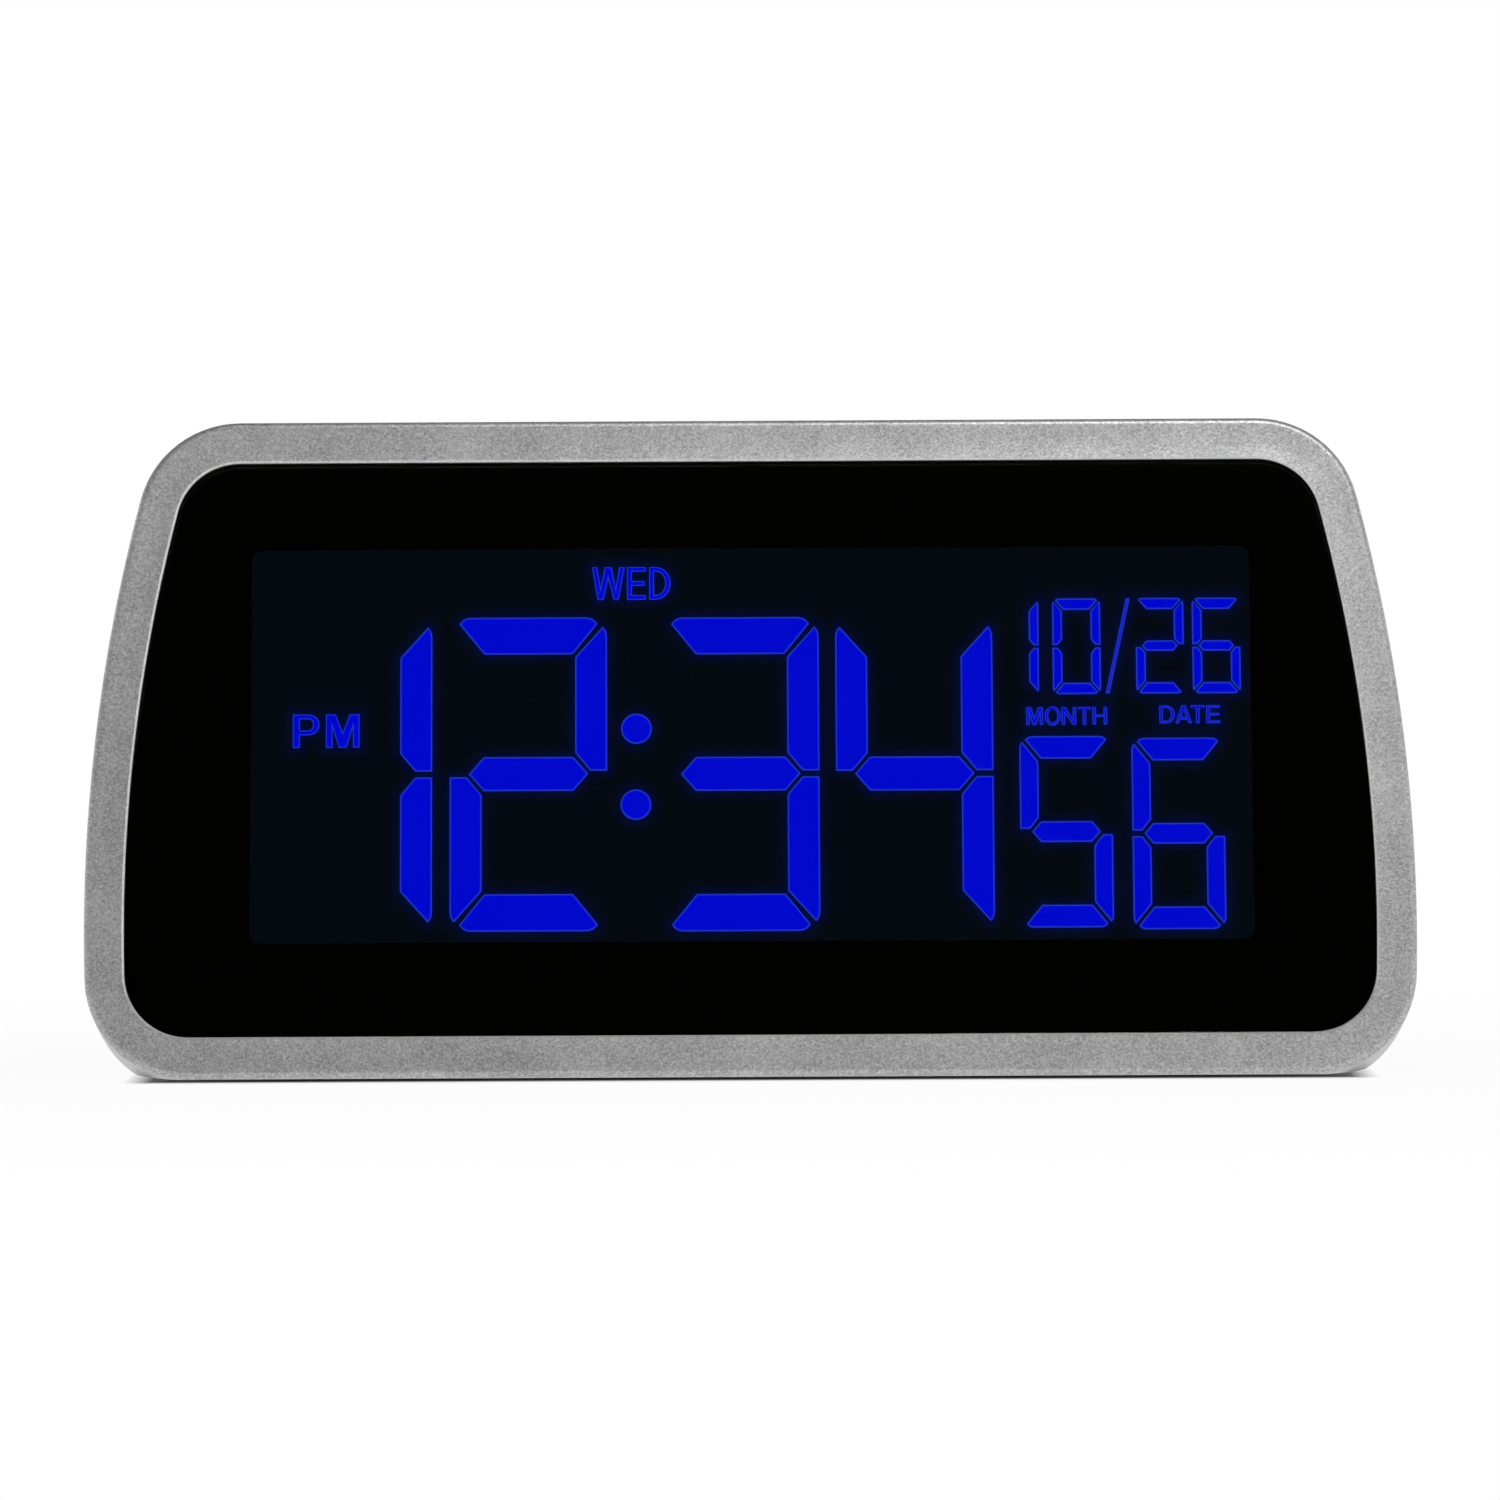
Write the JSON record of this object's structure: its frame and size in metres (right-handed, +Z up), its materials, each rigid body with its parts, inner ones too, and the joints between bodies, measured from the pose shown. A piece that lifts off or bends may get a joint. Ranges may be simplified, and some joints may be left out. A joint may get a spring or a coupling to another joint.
{
  "type": "digital alarm clock",
  "caption": "Wide tabletop digital alarm clock with a leaning silver frame, black lens over blue lit digits, snooze bar, rear setting buttons and battery door.",
  "frame": {"origin": "middle of the clock's bounding box, on the table that the feet stand on", "axes": "+X to the right as seen from the front, +Y towards the back, +Z up"},
  "size_m": [0.19, 0.0598, 0.0943],
  "materials": {
    "silver_paint": "satin metallic paint on plastic",
    "clear_lens": "clear gloss plastic",
    "black_print": "black print",
    "display_black": "dark display cell",
    "lit_blue": "blue light",
    "white_plastic": "moulded",
    "rubber": "matte",
    "case_plastic": "fine moulded grain",
    "button_plastic": "smooth",
    "knob_plastic": "smooth",
    "snooze_plastic": "satin metallic paint on plastic",
    "board_green": "solder mask",
    "chip_black": "moulded",
    "bright_metal": "plated",
    "brass": "turned",
    "cell_sleeve": "printed sleeve"
  },
  "bodies": {
    "clock": {"front_bezel": "silver_paint", "display_lens": "clear_lens", "display_mask": "black_print", "lcd_panel": "display_black", "light_guide": "lit_blue", "reflector_sheet": "white_plastic", "led_board_left": "white_plastic", "led_board_right": "white_plastic", "lcd_holder": "white_plastic", "zebra_strip": "rubber", "main_board": "board_green", "controller_chip": "chip_black", "crystal_can": "bright_metal", "board_screw_1": "bright_metal", "board_screw_2": "bright_metal", "board_screw_3": "bright_metal", "board_screw_4": "bright_metal", "rear_case": "case_plastic", "foot_1": "rubber", "foot_2": "rubber", "foot_3": "rubber", "foot_4": "rubber", "case_screw_1": "bright_metal", "case_screw_2": "bright_metal", "case_screw_3": "bright_metal", "case_screw_4": "bright_metal", "push_switch_1": "chip_black", "push_switch_2": "chip_black", "push_switch_3": "chip_black", "push_switch_4": "chip_black", "push_switch_5": "chip_black", "alarm_switch_body": "bright_metal", "dimmer_switch_body": "bright_metal", "key_board_screw_1": "bright_metal", "key_board_screw_2": "bright_metal", "key_board": "board_green", "snooze_switch": "chip_black", "snooze_screw_1": "bright_metal", "snooze_screw_2": "bright_metal", "snooze_board": "board_green", "cell_1": "cell_sleeve", "battery_spring_1": "bright_metal", "battery_contact_1": "bright_metal", "cell_2": "cell_sleeve", "battery_spring_2": "bright_metal", "battery_contact_2": "bright_metal", "buzzer": "chip_black", "dc_jack": "chip_black", "jack_pin": "brass", "jack_nut": "bright_metal", "key_ribbon": "white_plastic"},
    "snooze": {"snooze_bar": "snooze_plastic"},
    "alarm_switch": {"alarm_switch_knob": "knob_plastic"},
    "dimmer_switch": {"dimmer_switch_knob": "knob_plastic"},
    "battery_door": {"battery_door": "case_plastic"},
    "time_set_key": {"time_set_button": "button_plastic"},
    "alarm_set_key": {"alarm_set_button": "button_plastic"},
    "hour_key": {"hour_button": "button_plastic"},
    "minute_key": {"minute_button": "button_plastic"},
    "mode_key": {"mode_button": "button_plastic"}
  },
  "joints": [
    {"name": "snooze_press", "type": "slide", "parent": "clock", "child": "snooze", "axis": [0, -0.2079, -0.9781], "range_m": [0, 0.0008], "stiffness_N_per_m": 900, "springref_m": -0.0006},
    {"name": "time_set_press", "type": "slide", "parent": "clock", "child": "time_set_key", "axis": [0, -0.9962, -0.0872], "range_m": [0, 0.0008], "stiffness_N_per_m": 900, "springref_m": -0.0004},
    {"name": "alarm_set_press", "type": "slide", "parent": "clock", "child": "alarm_set_key", "axis": [0, -0.9962, -0.0872], "range_m": [0, 0.0008], "stiffness_N_per_m": 900, "springref_m": -0.0004},
    {"name": "hour_press", "type": "slide", "parent": "clock", "child": "hour_key", "axis": [0, -0.9962, -0.0872], "range_m": [0, 0.0008], "stiffness_N_per_m": 900, "springref_m": -0.0004},
    {"name": "minute_press", "type": "slide", "parent": "clock", "child": "minute_key", "axis": [0, -0.9962, -0.0872], "range_m": [0, 0.0008], "stiffness_N_per_m": 900, "springref_m": -0.0004},
    {"name": "mode_press", "type": "slide", "parent": "clock", "child": "mode_key", "axis": [0, -0.9962, -0.0872], "range_m": [0, 0.0008], "stiffness_N_per_m": 900, "springref_m": -0.0004},
    {"name": "alarm_switch_slide", "type": "slide", "parent": "clock", "child": "alarm_switch", "axis": [1, 0, 0], "range_m": [0, 0.004]},
    {"name": "dimmer_switch_slide", "type": "slide", "parent": "clock", "child": "dimmer_switch", "axis": [1, 0, 0], "range_m": [-0.0025, 0.0025]},
    {"name": "battery_door_hinge", "type": "hinge", "parent": "clock", "child": "battery_door", "pos_m": [0, 0.02808, 0.01293], "axis": [-1, 0, 0], "range_deg": [0, 90]}
  ]
}
